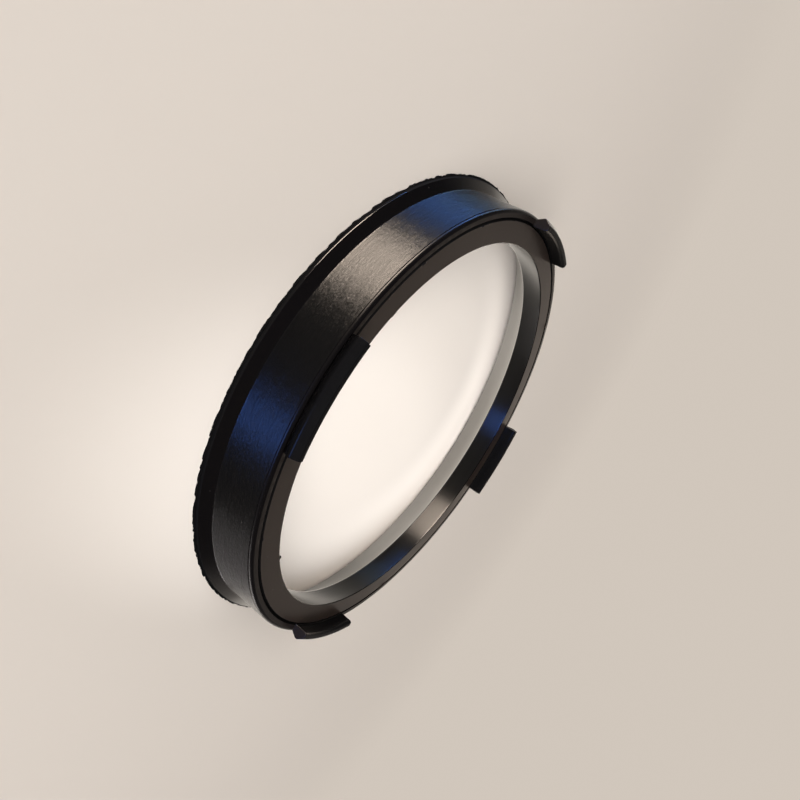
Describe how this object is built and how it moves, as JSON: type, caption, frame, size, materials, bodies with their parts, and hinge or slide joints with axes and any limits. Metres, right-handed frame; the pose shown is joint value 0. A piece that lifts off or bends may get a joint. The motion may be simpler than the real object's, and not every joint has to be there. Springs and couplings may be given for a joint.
{
  "type": "hub centric ring",
  "caption": "Moulded plastic spacer ring with a flared back lip, a chamfered lead-in bore and barbed snap tabs, centring a car wheel on its hub.",
  "frame": {"origin": "on the ring's axis, in the plane of the lip's flat back face", "axes": "+Z along the ring's axis from the lip towards the snap tabs; +X through the middle of one tab"},
  "size_m": [0.0768, 0.0768, 0.0111],
  "materials": {
    "black_plastic": "satin"
  },
  "bodies": {
    "root": {"hub_ring": "black_plastic"}
  },
  "joints": []
}
